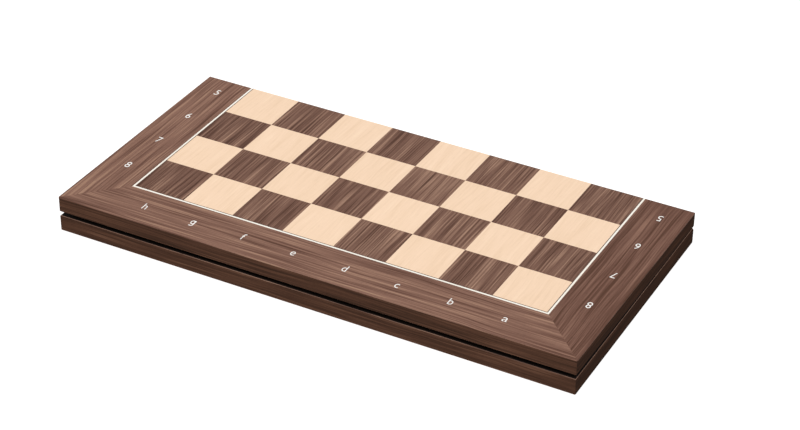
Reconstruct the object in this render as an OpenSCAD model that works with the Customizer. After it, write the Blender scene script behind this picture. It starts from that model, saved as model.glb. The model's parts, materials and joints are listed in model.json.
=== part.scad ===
// Folding chess board: two veneered panels joined by two butt hinges let into their backs.
// Each panel is a core with solid wood edge bands, veneered over on both faces.
// Folded, the playing faces are outside and the backs face each other, held apart by pads.
// Opened flat, the fold edges butt and the two halves make one 8 by 8 board.
// The board lies folded on its lower half: +Z is up, the hinges are at +Y, the origin is
// at the middle of the base. Each half is drawn in its own frame, with the hinge axis as
// origin, the panel towards -Y and its playing face towards +Z.

/* [Playing field] */
// Side of one square
square_w = 50; // [30:1:60]
// What the groove for the stringing takes off the outer squares
groove_trim = 0.75; // [0:0.25:2]
// Border from the outer squares to the outer edge of the board
margin_w = 49.25; // [25:0.25:80]
// Width of the dark stringing round the squares
string_w = 0.75; // [0.5:0.05:2]
// Width of the pale inlay line outside the stringing
inlay_w = 1.75; // [1:0.25:5]

/* [Panel] */
// Thickness of the fibreboard core
core_t = 14; // [11:0.5:22]
// Thickness of the veneers on both faces
veneer_t = 0.7; // [0.5:0.05:1]
// Width of the solid wood edge bands under the veneers
band_w = 3; // [2.5:0.5:6]
// Radius of the long edges next to the playing face
face_round = 0.8; // [0.3:0.1:2]
// Radius of the long edges next to the back
back_round = 2.4; // [0.5:0.1:2.4]
// Radius of the upright outer corners
corner_round = 2; // [0.5:0.1:2.4]

/* [Hinges] */
// Distance from the middle of the board to the middle of each hinge
hinge_offset = 150; // [40:1:170]
// Length of a hinge along the fold
leaf_l = 40; // [25:1:60]
// Width of a hinge leaf across the panel
leaf_w = 15; // [12:1:30]
// Thickness of a hinge leaf
leaf_t = 1; // [0.8:0.1:2]
// Outer radius of the hinge knuckles
knuckle_r = 1.2; // [1:0.05:1.3]
// Radius of the hinge pin
pin_r = 0.6; // [0.4:0.05:0.7]
// Distance from the back of a panel to the hinge axis
hinge_drop = 0.25; // [0.1:0.05:0.3]

/* [Screws] */
// Radius of the screw shanks
screw_r = 1; // [0.7:0.1:1.5]
// Radius of the countersunk screw heads
head_r = 1.9; // [1.6:0.1:2.5]
// Length of the screws with their heads
screw_l = 9; // [6:0.5:10]
// Distance from the hinge axis to the row of screws
screw_y = 9; // [7:0.5:10]
// Distance between neighbouring screws
screw_pitch = 14; // [8:1:18]

/* [Pads] */
// Radius of the pads on the backs
pad_r = 6; // [4:0.5:12]
// Thickness of the pads, more than the hinges stand proud of the backs
pad_t = 1.5; // [1.5:0.1:4]
// Distance from the outer edges to the middle of a pad
pad_inset = 20; // [16:1:60]

/* [Fits] */
// Joint line between two neighbouring squares
seam = 0.03; // [0.02:0.01:0.1]
// Distance from the fold edges to the hinge axis
fold_clear = 0.05; // [0.03:0.01:0.1]
// Radial clearance of the pin in the moving knuckles
pin_clear = 0.05; // [0.02:0.01:0.1]
// End play between neighbouring knuckles
knuckle_play = 0.2; // [0.1:0.05:0.5]
// Clearance round the knuckles and leaves in their recesses
recess_clear = 0.2; // [0.1:0.05:0.5]
// Clearance between facing pads when the board is folded
pad_clear = 0.03; // [0.02:0.01:0.1]

/* [Hidden] */
files = 8;
half_ranks = 4;
knuckle_count = 5;
grid = half_ranks * square_w;
field = grid - groove_trim;
half_w = field + margin_w;
half_d = field + margin_w;
inside = margin_w - band_w;
panel_t = core_t + 2 * veneer_t;
z_back = hinge_drop;
z_core = z_back + veneer_t;
z_veneer = z_core + core_t;
z_face = z_veneer + veneer_t;
head_h = head_r - screw_r;
tip_l = 1.5;
cross_w = 0.35;
cross_h = 0.45;
eps = 0.01;
knuckle_l = leaf_l / knuckle_count;
barrel_r = knuckle_r + recess_clear;
pad_near = half_d - pad_inset - pad_r;
wedge = atan((2 * (pad_t - hinge_drop) + pad_clear) / pad_near);
fold_y = (half_d - knuckle_r) / 2;
axis_z = panel_t + hinge_drop;
walnut = "#7b5848";
walnut_dark = "#4a3228";
walnut_stained = "#1e1714";
maple = "#f4d6b4";
cream = "#fbf3e2";
brass = "#c9a24b";
$fn = 64;

// Corners of a mitred strip along the front, between two distances outside the squares
function front_strip(near, far) = [
    [-field - near, -field - near],
    [-field - far, -field - far],
    [field + far, -field - far],
    [field + near, -field - near]
];

// Corners of a mitred strip along one side: 1 is towards +X and -1 towards -X
function side_strip(near, far, side) = [
    [side * (field + near), -field - near],
    [side * (field + far), -field - far],
    [side * (field + far), -fold_clear],
    [side * (field + near), -fold_clear]
];

// Middle of the hinge on one side
function hinge_x(side) = side * hinge_offset;

// Puts a half where the lower half lies, with its playing face down
module on_lower() {
    translate([0, fold_y, axis_z])
        rotate([0, 180, 0])
            children();
}

// Puts a half where the upper half lies, resting on the pads
module on_upper() {
    translate([0, fold_y, axis_z])
        rotate([-wedge, 0, 0])
            children();
}

// What is cut away from a square corner to round it: the corner is at the origin
module corner_waste(radius) {
    difference() {
        translate([-1, -1])
            square(radius + 1);
        translate([radius, radius])
            circle(radius);
    }
}

// Section of a half along one axis: "to" is the far end, and the near end may stay square
module panel_section(from, to, round_near) {
    difference() {
        translate([from, z_back])
            square([to - from, panel_t]);
        if (round_near) {
            translate([to, z_back])
                mirror([1, 0])
                    corner_waste(back_round);
            translate([to, z_face])
                rotate(180)
                    corner_waste(face_round);
        }
        translate([from, z_back])
            corner_waste(back_round);
        translate([from, z_face])
            mirror([0, 1])
                corner_waste(face_round);
    }
}

// Outline of a half from above, with its two outer corners rounded
module panel_plan() {
    difference() {
        translate([-half_w, -half_d])
            square([2 * half_w, half_d - fold_clear]);
        translate([-half_w, -half_d])
            corner_waste(corner_round);
        translate([half_w, -half_d])
            mirror([1, 0])
                corner_waste(corner_round);
    }
}

// Outside of a whole half, with all its rounded edges
module panel_blank() {
    intersection() {
        translate([0, 0, z_back])
            linear_extrude(panel_t)
                panel_plan();
        rotate([90, 0, 90])
            linear_extrude(2 * half_w, center = true)
                panel_section(-half_d, -fold_clear, false);
        rotate([90, 0, 0])
            linear_extrude(half_d)
                panel_section(-half_w, half_w, true);
    }
}

// A strip of face veneer
module face_strip(corners) {
    translate([0, 0, z_veneer])
        linear_extrude(veneer_t)
            polygon(corners);
}

// A strip of the outer border, rounded where it meets the outer edge
module border_strip(corners) {
    color(walnut)
        intersection() {
            panel_blank();
            face_strip(corners);
        }
}

// An edge band beside the core, between the two veneers
module band_strip(corners) {
    color(walnut_dark)
        intersection() {
            panel_blank();
            translate([0, 0, z_core])
                linear_extrude(core_t)
                    polygon(corners);
        }
}

// Space for one screw, from the back of the panel inwards
module screw_space() {
    cylinder(r1 = head_r, r2 = screw_r, h = head_h);
    cylinder(r = screw_r, h = screw_l);
}

// Where the screws of one hinge stand
module at_screws(side) {
    for (place = [-1:1])
        translate([hinge_x(side) + place * screw_pitch, -screw_y, z_back])
            children();
}

// Recess of one hinge: the leaf, the barrel and the screws
module hinge_recess(side) {
    recess_l = leaf_l + 2 * recess_clear;
    recess_w = leaf_w + recess_clear;
    translate([hinge_x(side) - recess_l / 2, -recess_w, z_back - 1])
        cube([recess_l, recess_w + 1, leaf_t + 1]);
    translate([hinge_x(side) - recess_l / 2, 0, 0])
        rotate([0, 90, 0])
            cylinder(r = barrel_r, h = recess_l);
    at_screws(side)
        screw_space();
}

module core() {
    color("#b08a60")
        difference() {
            translate([-field - inside, -field - inside, z_core])
                cube([2 * (field + inside), field + inside - fold_clear - band_w, core_t]);
            hinge_recess(-1);
            hinge_recess(1);
        }
}

// Dark stained veneer over the whole back
module backing() {
    color(walnut_stained)
        difference() {
            intersection() {
                panel_blank();
                translate([-half_w, -half_d, z_back])
                    cube([2 * half_w, half_d, veneer_t]);
            }
            hinge_recess(-1);
            hinge_recess(1);
        }
}

// Squares of one colour: parity 0 has the corner square towards -X at the outer edge
module squares(parity, wood) {
    color(wood)
        for (file = [0:files - 1])
            for (rank = [0:half_ranks - 1])
                if ((file + rank) % 2 == parity)
                    veneer_square(file, rank);
}

// One square, cut to the joint lines, the groove and the fold edge
module veneer_square(file, rank) {
    x_from = max(file * square_w - grid, -field) + seam / 2;
    x_to = min((file + 1) * square_w - grid, field) - seam / 2;
    y_from = max(rank * square_w - grid, -field) + seam / 2;
    y_to = rank == half_ranks - 1 ? -fold_clear : (rank + 1) * square_w - grid - seam / 2;
    translate([x_from, y_from, z_veneer])
        cube([x_to - x_from, y_to - y_from, veneer_t]);
}

module stringing_front() {
    color(walnut_dark)
        face_strip(front_strip(0, string_w));
}

module stringing_side(side) {
    color(walnut_dark)
        face_strip(side_strip(0, string_w, side));
}

module inlay_front() {
    color(cream)
        face_strip(front_strip(string_w, string_w + inlay_w));
}

module inlay_side(side) {
    color(cream)
        face_strip(side_strip(string_w, string_w + inlay_w, side));
}

module border_front() {
    border_strip(front_strip(string_w + inlay_w, margin_w));
}

module border_side(side) {
    border_strip(side_strip(string_w + inlay_w, margin_w, side));
}

module band_front() {
    band_strip(front_strip(inside, margin_w));
}

module band_side(side) {
    band_strip(side_strip(inside, margin_w, side));
}

module band_fold() {
    color(walnut_dark)
        difference() {
            translate([-field - inside, -fold_clear - band_w, z_core])
                cube([2 * (field + inside), band_w, core_t]);
            hinge_recess(-1);
            hinge_recess(1);
        }
}

module pads() {
    color("#2b2624")
        for (side = [-1, 1])
            translate([side * (half_w - pad_inset), pad_inset - half_d, z_back - pad_t])
                cylinder(r = pad_r, h = pad_t);
}

// One hinge leaf with the knuckles that it carries, bored for the pin
module leaf(side, knuckles, bore_r) {
    plate_end = knuckle_r + recess_clear;
    start_x = hinge_x(side) - leaf_l / 2;
    color(brass)
        difference() {
            union() {
                translate([start_x, -leaf_w, z_back])
                    cube([leaf_l, leaf_w - plate_end, leaf_t]);
                for (place = knuckles)
                    translate([start_x + place * knuckle_l + knuckle_play / 2, 0, 0])
                        knuckle(plate_end + eps);
            }
            translate([start_x - 1, 0, 0])
                rotate([0, 90, 0])
                    cylinder(r = bore_r, h = leaf_l + 2);
            at_screws(side)
                screw_space();
        }
}

// One knuckle and the tab that joins it to its leaf, which starts reach behind the axis
module knuckle(reach) {
    length = knuckle_l - knuckle_play;
    rotate([0, 90, 0])
        cylinder(r = knuckle_r, h = length);
    translate([0, -reach, z_back])
        cube([length, reach - fold_clear, leaf_t]);
}

// The lower leaves hold the pin in three knuckles
module fixed_leaf(side) {
    leaf(side, [0, 2, 4], pin_r);
}

// The upper leaves turn on the pin with two knuckles
module moving_leaf(side) {
    leaf(side, [1, 3], pin_r + pin_clear);
}

module pin(side) {
    color("#8d8f92")
        translate([hinge_x(side) - leaf_l / 2, 0, 0])
            rotate([0, 90, 0])
                cylinder(r = pin_r, h = leaf_l);
}

// A countersunk wood screw with a cross recess, its head flush with the leaf
module screw() {
    difference() {
        union() {
            cylinder(r1 = head_r, r2 = screw_r, h = head_h);
            cylinder(r = screw_r, h = screw_l - tip_l);
            translate([0, 0, screw_l - tip_l])
                cylinder(r1 = screw_r, r2 = screw_r / 4, h = tip_l);
        }
        for (turn = [0, 90])
            rotate(turn)
                cube([head_r * 1.2, cross_w, 2 * cross_h], center = true);
    }
}

module screws() {
    color(brass)
        for (side = [-1, 1])
            at_screws(side)
                screw();
}

on_lower() core();  // lower_core
on_lower() backing();  // lower_backing
on_lower() squares(1, maple);  // lower_light_squares
on_lower() squares(0, walnut);  // lower_dark_squares
on_lower() stringing_front();  // lower_stringing_front
on_lower() stringing_side(1);  // lower_stringing_left
on_lower() stringing_side(-1);  // lower_stringing_right
on_lower() inlay_front();  // lower_inlay_front
on_lower() inlay_side(1);  // lower_inlay_left
on_lower() inlay_side(-1);  // lower_inlay_right
on_lower() border_front();  // lower_border_front
on_lower() border_side(1);  // lower_border_left
on_lower() border_side(-1);  // lower_border_right
on_lower() band_front();  // lower_band_front
on_lower() band_side(1);  // lower_band_left
on_lower() band_side(-1);  // lower_band_right
on_lower() band_fold();  // lower_band_fold
on_lower() pads();  // lower_pads
on_lower() fixed_leaf(1);  // lower_leaf_left
on_lower() fixed_leaf(-1);  // lower_leaf_right
on_lower() screws();  // lower_screws
on_lower() pin(1);  // pin_left
on_lower() pin(-1);  // pin_right
on_upper() core();  // upper_core
on_upper() backing();  // upper_backing
on_upper() squares(1, maple);  // upper_light_squares
on_upper() squares(0, walnut);  // upper_dark_squares
on_upper() stringing_front();  // upper_stringing_front
on_upper() stringing_side(-1);  // upper_stringing_left
on_upper() stringing_side(1);  // upper_stringing_right
on_upper() inlay_front();  // upper_inlay_front
on_upper() inlay_side(-1);  // upper_inlay_left
on_upper() inlay_side(1);  // upper_inlay_right
on_upper() border_front();  // upper_border_front
on_upper() border_side(-1);  // upper_border_left
on_upper() border_side(1);  // upper_border_right
on_upper() band_front();  // upper_band_front
on_upper() band_side(-1);  // upper_band_left
on_upper() band_side(1);  // upper_band_right
on_upper() band_fold();  // upper_band_fold
on_upper() pads();  // upper_pads
on_upper() moving_leaf(-1);  // upper_leaf_left
on_upper() moving_leaf(1);  // upper_leaf_right
on_upper() screws();  // upper_screws
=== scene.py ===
"""Looks of the folding chess board: woods, lines, hinges, pads and printed notation.

The board lies folded. Each half has its own frame: the hinge axis is the origin, x runs along
the fold, y runs from the panel towards the fold and z out of the playing face. Grain, squares
and notation are all laid out in that frame, so both halves are made the same way.
"""

import json
import math

import bpy
from mathutils import Matrix, Vector

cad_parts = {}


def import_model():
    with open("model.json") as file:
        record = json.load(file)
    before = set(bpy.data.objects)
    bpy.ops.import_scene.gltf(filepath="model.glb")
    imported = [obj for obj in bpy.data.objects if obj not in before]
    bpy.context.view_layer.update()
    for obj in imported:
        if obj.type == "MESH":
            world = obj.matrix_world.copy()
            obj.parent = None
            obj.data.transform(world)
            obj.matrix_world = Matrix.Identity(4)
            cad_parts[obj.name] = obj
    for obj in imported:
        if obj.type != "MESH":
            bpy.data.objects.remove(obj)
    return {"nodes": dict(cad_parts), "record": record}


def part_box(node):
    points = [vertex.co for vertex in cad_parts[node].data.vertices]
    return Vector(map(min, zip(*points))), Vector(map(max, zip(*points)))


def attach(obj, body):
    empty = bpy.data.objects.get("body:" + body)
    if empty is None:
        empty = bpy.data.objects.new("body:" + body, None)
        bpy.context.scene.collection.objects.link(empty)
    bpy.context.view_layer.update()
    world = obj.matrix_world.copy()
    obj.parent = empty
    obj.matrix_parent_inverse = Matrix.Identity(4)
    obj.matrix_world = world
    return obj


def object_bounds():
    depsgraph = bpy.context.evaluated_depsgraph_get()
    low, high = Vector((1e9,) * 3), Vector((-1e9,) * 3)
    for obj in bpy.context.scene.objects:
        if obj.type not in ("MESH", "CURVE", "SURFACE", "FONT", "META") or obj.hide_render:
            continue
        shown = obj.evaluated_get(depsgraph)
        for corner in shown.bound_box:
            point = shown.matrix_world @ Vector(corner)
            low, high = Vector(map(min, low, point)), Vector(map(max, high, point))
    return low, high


MM = 0.001

# Camera: angles in degrees, places in metres, lens and sensor in millimetres
AZIMUTH = 27.8
ELEVATION = 33.13
ROLL = 0.5
DISTANCE = 1.9765
AIM = Vector((0.0149, 0.0167, 0.017))
LENS = 101.31
SENSOR = 36
CLIP = (0.05, 50)

# Studio: one large soft box high over the board, a white surround and a glowing floor
BOX_AZIMUTH = -40
BOX_ELEVATION = 80
BOX_DISTANCE = 2.6
BOX_SIDE = 4.0
BOX_POWER = 88
SURROUND = 0.5
FLOOR_REACH = 6.0
FLOOR_DROP = 0.1 * MM
FLOOR_GLOW = 0.88

# Under the studio light the playing face shows its albedo times EXPOSURE, plus GLOSS
EXPOSURE = 1.19
GLOSS = 0.018

# Notation, as printed on the border. Letters stand on a line LETTER_BASE outside the squares,
# and numbers are centred NUMBER_OUT outside them. Both are printed a little off the middle of
# their squares, and the letters a little closer together than the squares are.
LETTER_H = 8.8 * MM
LETTER_BASE = 28.4 * MM
LETTER_SHIFT = 0.5 * MM
LETTER_PITCH = 0.992
NUMBER_OUT = 25.3 * MM
NUMBER_SHIFT_LEFT = 2.0 * MM
NUMBER_SHIFT_RIGHT = 1.2 * MM
INK_PROUD = 0.02 * MM

# Characters: narrower than the built-in font and slightly thinner, and the a is wider. They are
# extruded by GLYPH_T only to tell their tops from their undersides.
CONDENSE = 0.84
WIDER = {"a": 1.2}
STROKE_TRIM = -0.003
GLYPH_T = 0.004

# Noise of the woods, in millimetres: how far apart the halves and the pieces are taken from it,
# and how far apart the squares of one rank and of different ranks are cut
HALF_STEP = 37.0
PIECE_STEP = 113.0
FILE_STEP_ALONG = 31.0
SQUARE_STEP_ACROSS = 9.0
RANK_STEP_ACROSS = 900.0
RANK_STEP_ALONG = 2000.0

# How much brighter or darker than its wood a single square may be
SQUARE_TONE = 0.03

# Layers of the figure: how much the lines, the streaks, the broad bands and the fine lines add
LINES_SHARE = 0.72
STREAKS_SHARE = 0.40
BROAD_SHARE = 0.14
FINE_SHARE = 0.24

# Widths of the broad bands and the fine lines, in millimetres, and how many widths each layer
# runs on for
BROAD_W = 15.0
FINE_W = 0.5
BROAD_STRETCH = 20.0
STREAK_STRETCH = 35.0
FINE_STRETCH = 120.0

# Periods per millimetre, across and along the grain, of its slow waves and of its open pores
WAVE_ACROSS = 0.015
WAVE_ALONG = 0.008
PORE_ACROSS = 4.2
PORE_ALONG = 0.16

# Relief: the height of a full step, and how much of it the fine lines rise and the pores sink
RELIEF = 0.05 * MM
FINE_RISE = 0.4
PORE_DEPTH = 0.6


def srgb(red, green, blue):
    """Linear colour, with alpha, of a display colour given from 0 to 255."""
    def linear(value):
        value = value / 255
        return value / 12.92 if value <= 0.04045 else ((value + 0.055) / 1.055) ** 2.4
    return (linear(red), linear(green), linear(blue), 1.0)


def seen(red, green, blue):
    """Albedo of a surface that shows this display colour on the playing face."""
    linear = srgb(red, green, blue)[:3]
    return tuple(max(value - GLOSS, 0.002) / EXPOSURE for value in linear) + (1.0,)


class Half:
    """One half of the board: the matrix from its own frame to the row frame."""

    def __init__(self, name, matrix, seed):
        self.name = name
        self.matrix = matrix
        self.seed = seed


def find_halves(frame):
    """The two halves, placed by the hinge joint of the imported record."""
    joint = frame["record"]["behaviour"]["joints"][0]
    axis_at = Matrix.Translation(Vector(joint["pos_m"]))
    wedge = math.radians(180 - joint["range_deg"][1])
    lower = Half("lower", axis_at @ Matrix.Rotation(math.pi, 4, "Y"), 3.0)
    upper = Half("upper", axis_at @ Matrix.Rotation(-wedge, 4, "X"), 11.0)
    return lower, upper


def find_square(frame):
    """Side of a square, from the two joint lines of the light squares nearest to x = 0.

    The middle files meet at x = 0, and the next joint line is one square further out.
    """
    places = [abs(vertex.co.x) for vertex in frame["nodes"]["lower_light_squares"].data.vertices]
    half_seam = min(places)
    return min(place for place in places if place > 1 * MM) + half_seam


# ---------------------------------------------------------------- node graphs

class Graph:
    """A material's node tree with short calls for the nodes used here."""

    def __init__(self, name):
        self.material = bpy.data.materials.new(name)
        self.material.use_nodes = True
        self.tree = self.material.node_tree
        self.tree.nodes.clear()
        self.shader = self.add("ShaderNodeBsdfPrincipled")
        output = self.add("ShaderNodeOutputMaterial")
        self.link(self.shader.outputs["BSDF"], output.inputs["Surface"])

    def add(self, kind, inputs=None, **settings):
        node = self.tree.nodes.new(kind)
        for key, value in settings.items():
            setattr(node, key, value)
        for key, value in (inputs or {}).items():
            self.put(node.inputs[key], value)
        return node

    def put(self, socket, value):
        if isinstance(value, bpy.types.NodeSocket):
            self.link(value, socket)
        else:
            socket.default_value = value

    def link(self, source, target):
        self.tree.links.new(source, target)

    def math(self, operation, *values, clamp=False):
        node = self.add("ShaderNodeMath", operation=operation, use_clamp=clamp)
        for socket, value in zip(node.inputs, values):
            self.put(socket, value)
        return node.outputs[0]

    def combine(self, x, y, z):
        return self.add("ShaderNodeCombineXYZ", {"X": x, "Y": y, "Z": z}).outputs[0]

    def noise(self, vector, scale=1.0, detail=2.0, rough=0.5, distort=0.0):
        inputs = {"Vector": vector, "Scale": scale, "Detail": detail,
                  "Roughness": rough, "Distortion": distort}
        return self.add("ShaderNodeTexNoise", inputs).outputs[0]

    def draw(self, vector):
        """Three random numbers from 0 to 1 that are fixed for each vector."""
        inputs = {"Vector": vector}
        noise = self.add("ShaderNodeTexWhiteNoise", inputs, noise_dimensions="3D")
        return self.add("ShaderNodeSeparateColor", {"Color": noise.outputs["Color"]}).outputs

    def ramp(self, factor, stops, smooth=True):
        """A colour ramp: stops are (position, colour or grey)."""
        node = self.add("ShaderNodeValToRGB", {"Fac": factor})
        node.color_ramp.interpolation = "EASE" if smooth else "LINEAR"
        elements = node.color_ramp.elements
        while len(elements) < len(stops):
            elements.new(0.5)
        for element, (position, colour) in zip(elements, stops):
            element.position = position
            element.color = colour if isinstance(colour, tuple) else (colour,) * 3 + (1,)
        return node.outputs[0]

    def mix(self, factor, first, second, blend="MIX"):
        """Mixes two colours, through the colour sockets of the Mix node."""
        node = self.add("ShaderNodeMix", data_type="RGBA", blend_type=blend)
        self.put(node.inputs[0], factor)
        self.put(node.inputs[6], first)
        self.put(node.inputs[7], second)
        return node.outputs[2]

    def remap(self, value, low, high, to_low=0.0, to_high=1.0):
        inputs = {"Value": value, "From Min": low, "From Max": high,
                  "To Min": to_low, "To Max": to_high}
        return self.add("ShaderNodeMapRange", inputs).outputs[0]

    def bump(self, height, strength, distance):
        """Relief of the surface, with the height of a full step in metres."""
        inputs = {"Height": height, "Strength": strength, "Distance": distance}
        node = self.add("ShaderNodeBump", inputs)
        self.link(node.outputs[0], self.shader.inputs["Normal"])

    def finish(self, colour, roughness, **fixed):
        """Sets the colour, the roughness and values that are the same all over."""
        self.put(self.shader.inputs["Base Color"], colour)
        self.put(self.shader.inputs["Roughness"], roughness)
        for key, value in fixed.items():
            self.shader.inputs[key.replace("_", " ")].default_value = value
        return self.material


def half_coordinates(graph, half):
    """Object position in the half's own frame, in millimetres, as x, y and z."""
    inverse = half.matrix.inverted()
    inputs = {"Vector": graph.add("ShaderNodeTexCoord").outputs["Object"],
              "Location": inverse.translation / MM,
              "Rotation": inverse.to_euler(),
              "Scale": (1 / MM,) * 3}
    mapping = graph.add("ShaderNodeMapping", inputs, vector_type="POINT")
    split = graph.add("ShaderNodeSeparateXYZ", {"Vector": mapping.outputs[0]})
    return split.outputs[0], split.outputs[1], split.outputs[2]


# ---------------------------------------------------------------- woods

class Wood:
    """Colours and figure of one wood. Widths are in millimetres.

    line_w and streak_w are the widths of the lines and of the streaks, wander is how far the
    grain strays sideways, gain is the contrast, stretch is how many widths a line runs on for,
    and pore is how bright a pore is against the wood round it.
    """

    def __init__(self, stops, line_w, streak_w, wander, gain=1.2, stretch=60.0, pore=0.75,
                 roughness=0.5, specular=0.18):
        self.stops = stops
        self.line_w = line_w
        self.streak_w = streak_w
        self.wander = wander
        self.gain = gain
        self.stretch = stretch
        self.pore = pore
        self.roughness = roughness
        self.specular = specular


WALNUT = Wood(
    stops=[(0.30, seen(84, 58, 48)), (0.42, seen(107, 78, 66)), (0.50, seen(122, 91, 78)),
           (0.58, seen(135, 103, 88)), (0.68, seen(160, 127, 108)), (0.78, seen(172, 138, 116))],
    line_w=1.4, streak_w=3.4, wander=1.2)
BORDER = Wood(
    stops=[(0.30, seen(92, 64, 52)), (0.42, seen(115, 83, 71)), (0.50, seen(130, 97, 83)),
           (0.58, seen(142, 107, 92)), (0.68, seen(162, 127, 107)), (0.78, seen(172, 137, 115))],
    line_w=1.5, streak_w=4.5, wander=1.6)
QUIET_BORDER = Wood(
    stops=BORDER.stops, line_w=BORDER.line_w, streak_w=BORDER.streak_w, wander=BORDER.wander,
    gain=0.92)
# Edge bands: dark walnut, darkened further as painted shade on the upright sides of the board;
# the lowest stop serves the right band's deeper painted shade
BAND = Wood(
    stops=[(0.18, srgb(48, 35, 29)), (0.35, srgb(59, 41, 32)), (0.50, srgb(73, 50, 39)),
           (0.62, srgb(85, 59, 46)), (0.78, srgb(105, 76, 60))],
    line_w=1.3, streak_w=3.5, wander=1.2, specular=0.0)
MAPLE = Wood(
    stops=[(0.28, seen(240, 208, 177)), (0.44, seen(246, 215, 185)), (0.58, seen(249, 218, 189)),
           (0.75, seen(252, 223, 194))],
    line_w=1.8, streak_w=6.0, wander=3.0, gain=1.1, stretch=22.0, pore=0.94)
# Backing veneer darkened almost to black: painted shade for the dark gap between the folded
# halves
PAINTED_SHADE_BACK = Wood(
    stops=[(0.3, srgb(20, 15, 13)), (0.5, srgb(27, 20, 17)), (0.7, srgb(38, 28, 24))],
    line_w=1.4, streak_w=4.0, wander=2.0, roughness=0.6, specular=0.1)
# The dark backing, which is painted shade, ends this far over the back, in millimetres, and fades
# out over the width given next
PAINTED_SHADE_EDGE = 0.38
PAINTED_SHADE_FADE = 0.05
# Lighter walnut on the rounded rim of the backing: a painted highlight along the edge that
# catches the light
PAINTED_HIGHLIGHT_RIM = Wood(
    stops=[(0.30, srgb(108, 80, 68)), (0.50, srgb(132, 101, 86)), (0.70, srgb(152, 120, 102))],
    line_w=1.4, streak_w=4.0, wander=2.0)
INLAY = Wood(
    stops=[(0.3, seen(251, 244, 230)), (0.7, seen(255, 251, 243))],
    line_w=1.5, streak_w=3.0, wander=1.0, pore=0.96)
STRINGING = Wood(
    stops=[(0.3, seen(88, 69, 60)), (0.7, seen(116, 93, 81))],
    line_w=1.0, streak_w=3.0, wander=1.0, pore=0.9)


def wood_material(name, wood, half, along, square=None, seed=0.0, tone=0.0):
    """Veneer or solid wood with its grain along x or y of the half."""
    graph = Graph(name)
    colour, rough = wood_figure(graph, wood, half, along, square, seed, tone)
    return graph.finish(colour, rough, Specular_IOR_Level=wood.specular)


def backing_material(half, back_z):
    """Backing veneer darkened almost to black as painted shade for the gap between the halves,
    and lighter on the rounded rim as a painted highlight.
    """
    graph = Graph(f"{half.name}_backing_wood")
    shade_dark, rough = wood_figure(graph, PAINTED_SHADE_BACK, half, "x", None, 3.0, 0.0)
    rim_highlight = wood_figure(graph, PAINTED_HIGHLIGHT_RIM, half, "x", None, 3.0, 0.0)[0]
    height = half_coordinates(graph, half)[2]
    shade_end = back_z / MM + PAINTED_SHADE_EDGE
    # above the painted shade, the rounded rim takes the lighter painted highlight
    rim = graph.remap(height, shade_end - PAINTED_SHADE_FADE, shade_end)
    colour = graph.mix(rim, shade_dark, rim_highlight)
    return graph.finish(colour, rough, Specular_IOR_Level=PAINTED_SHADE_BACK.specular)


def cut_squares(graph, x, y, side, offset, tone):
    """Places across and along the grain, and tone, where each square is a piece of its own.

    The squares of one rank are cut from neighbouring leaves, so their figure is alike.
    """
    file_index = graph.math("FLOOR", graph.math("DIVIDE", x, side))
    rank_index = graph.math("FLOOR", graph.math("DIVIDE", y, side))
    rank_draw = graph.draw(graph.combine(0.0, rank_index, offset))
    square_draw = graph.draw(graph.combine(file_index, rank_index, offset))
    across = graph.math("SUBTRACT", x, graph.math("MULTIPLY", file_index, side))
    across = graph.math("ADD", across, graph.math("MULTIPLY", rank_draw[0], RANK_STEP_ACROSS))
    across = graph.math("ADD", across, graph.math("MULTIPLY", square_draw[0], SQUARE_STEP_ACROSS))
    length = graph.math("ADD", y, graph.math("MULTIPLY", file_index, FILE_STEP_ALONG))
    length = graph.math("ADD", length, graph.math("MULTIPLY", rank_draw[1], RANK_STEP_ALONG))
    shift = graph.remap(square_draw[2], 0.0, 1.0, tone - SQUARE_TONE, tone + SQUARE_TONE)
    return across, length, shift


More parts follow.
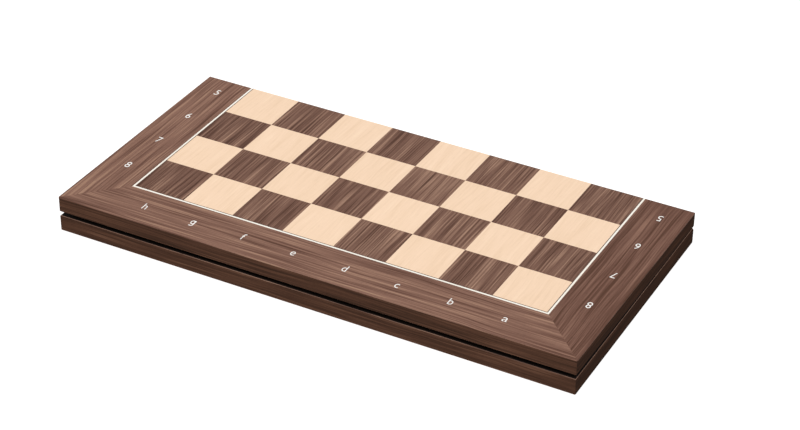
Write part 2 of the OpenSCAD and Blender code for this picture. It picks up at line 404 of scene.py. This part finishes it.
def wood_figure(graph, wood, half, along, square, seed, tone):
    """Colour and roughness of a wood, with its grain along x or y of the half.

    With the side of a square given, in metres, each square of the field is a piece of wood of
    its own. The tone brightens or darkens the whole piece.
    """
    x, y, z = half_coordinates(graph, half)
    across, length = (x, y) if along == "y" else (y, x)
    offset = half.seed * HALF_STEP + seed * PIECE_STEP
    value = tone + 0.5
    if square:
        across, length, shift = cut_squares(graph, x, y, square / MM, offset, tone)
        value = graph.math("ADD", shift, 0.5)
    across = graph.math("ADD", across, offset)

    # the grain wanders a little along its length
    slow = graph.noise(graph.combine(graph.math("MULTIPLY", across, WAVE_ACROSS),
                                     graph.math("MULTIPLY", length, WAVE_ALONG), offset),
                       detail=2.0)
    wander = graph.math("MULTIPLY", graph.math("SUBTRACT", slow, 0.5), 4.0 * wood.wander)
    grain = graph.math("ADD", graph.math("ADD", across, wander), z)

    def bands(width, stretch, detail=1.0):
        """Noise in lines of about this width that run on for stretch widths."""
        place = graph.combine(graph.math("MULTIPLY", grain, 1 / width),
                              graph.math("MULTIPLY", length, 1 / (width * stretch)), offset)
        return graph.noise(place, detail=detail, rough=0.55)

    lines = bands(wood.line_w, wood.stretch, 2.0)
    fine = bands(FINE_W, FINE_STRETCH)
    streaks = bands(wood.streak_w, STREAK_STRETCH)
    broad = bands(BROAD_W, BROAD_STRETCH)
    layers = ((lines, LINES_SHARE), (streaks, STREAKS_SHARE), (broad, BROAD_SHARE),
              (fine, FINE_SHARE))
    for layer, share in layers:
        part = graph.math("MULTIPLY", graph.math("SUBTRACT", layer, 0.5), share * wood.gain)
        value = graph.math("ADD", value, part)
    colour = graph.ramp(value, wood.stops, smooth=False)

    # open pores: short dark dashes along the grain
    pores = graph.noise(graph.combine(graph.math("MULTIPLY", grain, PORE_ACROSS),
                                      graph.math("MULTIPLY", length, PORE_ALONG), offset),
                        detail=1.0)
    pore = graph.ramp(pores, [(0.60, 0.0), (0.70, 1.0)])
    darker = graph.mix(1.0, colour, (wood.pore,) * 3 + (1,), blend="MULTIPLY")
    colour = graph.mix(pore, colour, darker)

    height = graph.math("SUBTRACT", graph.math("MULTIPLY", fine, FINE_RISE),
                        graph.math("MULTIPLY", pore, PORE_DEPTH))
    graph.bump(height, strength=0.18, distance=RELIEF)
    rough = graph.remap(lines, 0.3, 0.7, wood.roughness - 0.04, wood.roughness + 0.05)
    return colour, rough


def fibreboard_material(half):
    """Core board: pressed fibres, seen only inside the hinge recesses."""
    graph = Graph(f"fibreboard_{half.name}")
    x, y, z = half_coordinates(graph, half)
    place = graph.combine(x, y, z)
    fibres = graph.noise(place, scale=2.5, detail=4.0, rough=0.7)
    flecks = graph.noise(place, scale=0.7, detail=2.0)
    value = graph.math("ADD", graph.math("MULTIPLY", fibres, 0.6),
                       graph.math("MULTIPLY", flecks, 0.4))
    colour = graph.ramp(value, [(0.3, srgb(146, 112, 76)), (0.7, srgb(190, 156, 114))])
    graph.bump(fibres, strength=0.5, distance=0.1 * MM)
    return graph.finish(colour, 0.9)


def metal_material(name, tint, dark, roughness):
    """Stamped sheet metal with fine brushing along x, and stains of a darker tint."""
    along, across = 300.0, 9000.0
    graph = Graph(name)
    place = graph.add("ShaderNodeTexCoord").outputs["Object"]
    split = graph.add("ShaderNodeSeparateXYZ", {"Vector": place})
    brushed = graph.noise(graph.combine(graph.math("MULTIPLY", split.outputs[0], along),
                                        graph.math("MULTIPLY", split.outputs[1], across),
                                        graph.math("MULTIPLY", split.outputs[2], across)),
                          detail=3.0, rough=0.7)
    stain = graph.noise(place, scale=160.0, detail=4.0, rough=0.6)
    colour = graph.mix(graph.remap(stain, 0.45, 0.75), tint, dark)
    graph.bump(brushed, strength=0.25, distance=0.03 * MM)
    rough = graph.remap(graph.math("ADD", graph.math("MULTIPLY", brushed, 0.5),
                                   graph.math("MULTIPLY", stain, 0.5)),
                        0.3, 0.7, roughness - 0.06, roughness + 0.12)
    return graph.finish(colour, rough, Metallic=1.0)


def felt_material():
    """Dark felt pad with a fine nap."""
    graph = Graph("felt")
    place = graph.add("ShaderNodeTexCoord").outputs["Object"]
    nap = graph.noise(place, scale=2600.0, detail=4.0, rough=0.75, distort=1.2)
    tufts = graph.noise(place, scale=700.0, detail=2.0)
    value = graph.math("ADD", graph.math("MULTIPLY", nap, 0.7),
                       graph.math("MULTIPLY", tufts, 0.3))
    colour = graph.ramp(value, [(0.3, srgb(28, 25, 24)), (0.7, srgb(62, 56, 52))])
    graph.bump(value, strength=0.8, distance=0.25 * MM)
    return graph.finish(colour, 0.95, Sheen_Weight=0.3, Sheen_Roughness=0.5)


def ink_material(half):
    """White screen ink, a little uneven where the grain shows through."""
    graph = Graph(f"ink_{half.name}")
    x, y, z = half_coordinates(graph, half)
    speckle = graph.noise(graph.combine(x, y, z), scale=6.0, detail=3.0, rough=0.6)
    colour = graph.ramp(speckle, [(0.3, seen(240, 236, 230)), (0.6, seen(254, 252, 248))])
    graph.bump(speckle, strength=0.2, distance=INK_PROUD)
    rough = graph.remap(speckle, 0.3, 0.7, 0.42, 0.55)
    return graph.finish(colour, rough)


def dress_half(frame, half, square, back_z):
    """Gives every wooden CAD node of one half its material.

    The right border is cut from darker and quieter wood than the left one. The right edge band is
    darkened as painted shade on that side of the board. Pieces that share a seed share their
    figure.
    """
    def wood(part, kind, along, seed, **more):
        name = f"{half.name}_{part}"
        material = wood_material(f"{name}_wood", kind, half, along, seed=seed, **more)
        wear(frame["nodes"][name], material)

    wood("light_squares", MAPLE, "y", 1.0, square=square)
    wood("dark_squares", WALNUT, "y", 2.0, square=square)
    # the last number darkens the edge band: painted shade on the right side, none on the left
    sides = (("left", BORDER, 4.0, 0.01, 0.0), ("right", QUIET_BORDER, 5.0, -0.10, -0.25))
    for side, border, seed, tone, band_painted_shade in sides:
        wood(f"border_{side}", border, "y", seed, tone=tone)
        wood(f"band_{side}", BAND, "y", seed, tone=band_painted_shade)
        wood(f"inlay_{side}", INLAY, "y", seed)
        wood(f"stringing_{side}", STRINGING, "y", seed)
    wood("border_front", BORDER, "x", 6.0, tone=0.02)
    wood("band_front", BAND, "x", 7.0)
    wood("band_fold", BAND, "x", 8.0)
    wood("inlay_front", INLAY, "x", 6.0)
    wood("stringing_front", STRINGING, "x", 6.0)
    wear(frame["nodes"][f"{half.name}_core"], fibreboard_material(half))
    wear(frame["nodes"][f"{half.name}_backing"], backing_material(half, back_z))


def wear(piece, material):
    """Puts a material on every slot of a piece."""
    if not piece.material_slots:
        piece.data.materials.append(material)
    for slot in piece.material_slots:
        slot.material = material


def dress_fittings(frame):
    """Hinges, screws, pins and pads."""
    brass = metal_material("brass", srgb(214, 178, 104), srgb(168, 128, 66), 0.3)
    screw_brass = metal_material("screw_brass", srgb(232, 208, 152), srgb(196, 164, 108), 0.22)
    steel = metal_material("steel", srgb(176, 176, 178), srgb(120, 118, 116), 0.35)
    felt = felt_material()
    for name, piece in frame["nodes"].items():
        if "leaf" in name:
            wear(piece, brass)
        elif "screws" in name:
            wear(piece, screw_brass)
        elif name.startswith("pin"):
            wear(piece, steel)
        elif "pads" in name:
            wear(piece, felt)


# ---------------------------------------------------------------- notation

def figure_one():
    """Outline of the figure 1 with its flag, to the measures of the built-in font."""
    return [[(0.202, 0.0), (0.300, 0.0), (0.300, 0.682), (0.225, 0.682),
             (0.085, 0.585), (0.085, 0.480), (0.202, 0.556)]]


def arc(centre, radii, start, end, steps=24):
    """Points of an elliptic arc between two angles in degrees."""
    angles = [math.radians(start + (end - start) * step / steps) for step in range(steps + 1)]
    return [(centre[0] + radii[0] * math.cos(angle), centre[1] + radii[1] * math.sin(angle))
            for angle in angles]


def letter_g():
    """Outlines of a single-storey g with an open tail: the body, and the hole in its bowl.

    The hole's arc stops a step short of a full turn, because the outline closes itself.
    """
    stem_left, stem_right, x_height = 0.352, 0.440, 0.446
    bowl, bowl_radii, hole_radii = (0.232, 0.220), (0.193, 0.226), (0.108, 0.146)
    tail = (0.230, -0.060)
    tail_depth, stroke = 0.167, 0.075
    tail_end = -140
    tail_outer = (stem_right - tail[0], tail_depth)
    tail_inner = (stem_left - tail[0], tail_depth - stroke)
    meet = math.degrees(math.acos((stem_left - bowl[0]) / bowl_radii[0]))
    body = [(stem_right, x_height)]
    body += arc(tail, tail_outer, 0, tail_end)
    body += arc(tail, tail_inner, tail_end, 0)
    body += arc(bowl, bowl_radii, -meet, meet - 360)
    body += [(stem_left, x_height)]
    return [body, arc(bowl, hole_radii, 0, 345)]


DRAWN = {"1": figure_one, "g": letter_g}


def outline_curve(outlines):
    """Filled flat curve from closed outlines."""
    curve = bpy.data.curves.new("glyph", "CURVE")
    curve.dimensions = "2D"
    curve.fill_mode = "BOTH"
    for outline in outlines:
        spline = curve.splines.new("POLY")
        spline.points.add(len(outline) - 1)
        for point, (x, y) in zip(spline.points, outline):
            point.co = (x, y, 0.0, 1.0)
        spline.use_cyclic_u = True
    return curve


def font_curve(character):
    """Character of the built-in font, with slightly thinner strokes."""
    curve = bpy.data.curves.new("glyph", "FONT")
    curve.body = character
    curve.align_x = "LEFT"
    curve.offset = STROKE_TRIM
    curve.resolution_u = 6
    return curve


def glyph_mesh(character):
    """Flat printed character in the units of the built-in font."""
    drawn = DRAWN.get(character)
    curve = outline_curve(drawn()) if drawn else font_curve(character)
    curve.extrude = GLYPH_T
    maker = bpy.data.objects.new("glyph", curve)
    bpy.context.collection.objects.link(maker)
    bpy.context.view_layer.update()
    evaluated = maker.evaluated_get(bpy.context.evaluated_depsgraph_get())
    mesh = bpy.data.meshes.new_from_object(evaluated)
    bpy.data.objects.remove(maker)
    bpy.data.curves.remove(curve)
    return mesh


def extent(mesh, axis):
    """Lowest and highest value of the mesh along an axis."""
    values = [vertex.co[axis] for vertex in mesh.vertices]
    return min(values), max(values)


def print_row(name, half, surface, marks, ink):
    """Joins marks into one printed piece on the half.

    A mark is (character, x, y, turn, rise). It stands upright where turn is 1 and upside down
    where turn is -1, with its middle at x, and the level that is rise over its baseline at y.
    """
    vertices, faces = [], []
    scale = LETTER_H / extent(glyph_mesh("h"), 1)[1]
    for character, x, y, turn, rise in marks:
        mesh = glyph_mesh(character)
        left, right = extent(mesh, 0)
        low, high = extent(mesh, 2)
        width = scale * CONDENSE * WIDER.get(character, 1.0)
        start = len(vertices)
        for vertex in mesh.vertices:
            across = (vertex.co.x - (left + right) / 2) * width * turn
            upward = (vertex.co.y * scale - rise) * turn
            on_top = vertex.co.z > (low + high) / 2
            height = surface + (INK_PROUD if on_top else -INK_PROUD)
            vertices.append(half.matrix @ Vector((x + across, y + upward, height)))
        for polygon in mesh.polygons:
            faces.append([start + index for index in polygon.vertices])
        bpy.data.meshes.remove(mesh)
    mesh = bpy.data.meshes.new(name)
    mesh.from_pydata(vertices, [], faces)
    mesh.update()
    piece = bpy.data.objects.new(name, mesh)
    bpy.context.collection.objects.link(piece)
    wear(piece, ink)
    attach(piece, f"{half.name}_half")


def print_notation(half, square, surface, letters, numbers):
    """Letters along the outer border, and numbers up both sides."""
    ink = ink_material(half)
    grid = 4 * square
    files = [(letter, ((index + 0.5) * square - grid) * LETTER_PITCH + LETTER_SHIFT,
              -grid - LETTER_BASE, 1, 0.0) for index, letter in enumerate(letters)]
    print_row(f"{half.name}_file_letters", half, surface, files, ink)

    # the half's own left is the board's right on the lower half, which lies face down
    names = ("left", "right") if half.name == "upper" else ("right", "left")
    sides = ((-1, 1, NUMBER_SHIFT_LEFT), (1, -1, NUMBER_SHIFT_RIGHT))
    for where, (side, turn, shift) in zip(names, sides):
        ranks = [(number, side * (grid + NUMBER_OUT), (index + 0.5) * square - grid + shift,
                  turn, LETTER_H / 2) for index, number in enumerate(numbers)]
        print_row(f"{half.name}_rank_numbers_{where}", half, surface, ranks, ink)


# ---------------------------------------------------------------- stage

def make_floor():
    """Plain pale floor, just under the board."""
    reach = FLOOR_REACH
    corners = [(-reach, -reach), (reach, -reach), (reach, reach), (-reach, reach)]
    mesh = bpy.data.meshes.new("floor")
    mesh.from_pydata([(x, y, -FLOOR_DROP) for x, y in corners], [], [(0, 1, 2, 3)])
    floor = bpy.data.objects.new("floor", mesh)
    bpy.context.collection.objects.link(floor)
    graph = Graph("floor")
    place = graph.add("ShaderNodeTexCoord").outputs["Object"]
    cloud = graph.noise(place, scale=1.5, detail=2.0)
    colour = graph.ramp(cloud, [(0.3, (0.29, 0.29, 0.29, 1)), (0.7, (0.31, 0.31, 0.31, 1))])
    wear(floor, graph.finish(colour, 0.9, Specular_IOR_Level=0.0, Emission_Strength=FLOOR_GLOW,
                             Emission_Color=(1.0, 1.0, 1.0, 1.0)))


def direction(azimuth, elevation):
    """Unit vector from the board towards azimuth and elevation, with azimuth 0 along -Y."""
    a, e = math.radians(azimuth), math.radians(elevation)
    return Vector((math.sin(a) * math.cos(e), -math.cos(a) * math.cos(e), math.sin(e)))


def make_light():
    """Square soft box, aimed at the board."""
    light = bpy.data.lights.new("top_box", "AREA")
    light.energy = BOX_POWER
    light.shape = "RECTANGLE"
    light.size, light.size_y = BOX_SIDE, BOX_SIDE
    lamp = bpy.data.objects.new("top_box", light)
    back = direction(BOX_AZIMUTH, BOX_ELEVATION)
    lamp.location = AIM + back * BOX_DISTANCE
    lamp.rotation_euler = (-back).to_track_quat("-Z", "Y").to_euler()
    bpy.context.collection.objects.link(lamp)


def make_camera():
    """Camera that looks at AIM, turned by ROLL about its own axis."""
    camera = bpy.data.cameras.new("camera")
    camera.lens = LENS
    camera.sensor_width = SENSOR
    camera.clip_start, camera.clip_end = CLIP
    holder = bpy.data.objects.new("camera", camera)
    back = direction(AZIMUTH, ELEVATION)
    look = (-back).to_track_quat("-Z", "Y").to_matrix().to_4x4()
    roll = Matrix.Rotation(math.radians(ROLL), 4, "Z")
    holder.matrix_world = Matrix.Translation(AIM + back * DISTANCE) @ look @ roll
    bpy.context.collection.objects.link(holder)
    bpy.context.scene.camera = holder


def make_stage():
    """White surround, floor, light and camera."""
    world = bpy.data.worlds.new("studio")
    world.use_nodes = True
    background = world.node_tree.nodes["Background"]
    background.inputs["Color"].default_value = (1.0, 1.0, 1.0, 1)
    background.inputs["Strength"].default_value = SURROUND
    bpy.context.scene.world = world
    bpy.context.scene.view_settings.view_transform = "Standard"
    make_floor()
    make_light()
    make_camera()


def main():
    """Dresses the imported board, prints its notation and sets the stage."""
    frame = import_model()
    cad_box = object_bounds()
    lower, upper = find_halves(frame)
    square = find_square(frame)
    surface = frame["record"]["behaviour"]["joints"][0]["pos_m"][2] - cad_box[0].z
    back_z = surface - (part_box("lower_backing")[1].z - cad_box[0].z)
    for half in (lower, upper):
        dress_half(frame, half, square, back_z)
    dress_fittings(frame)
    print_notation(upper, square, surface, "hgfedcba", "8765")
    print_notation(lower, square, surface, "abcdefgh", "1234")
    make_stage()


main()
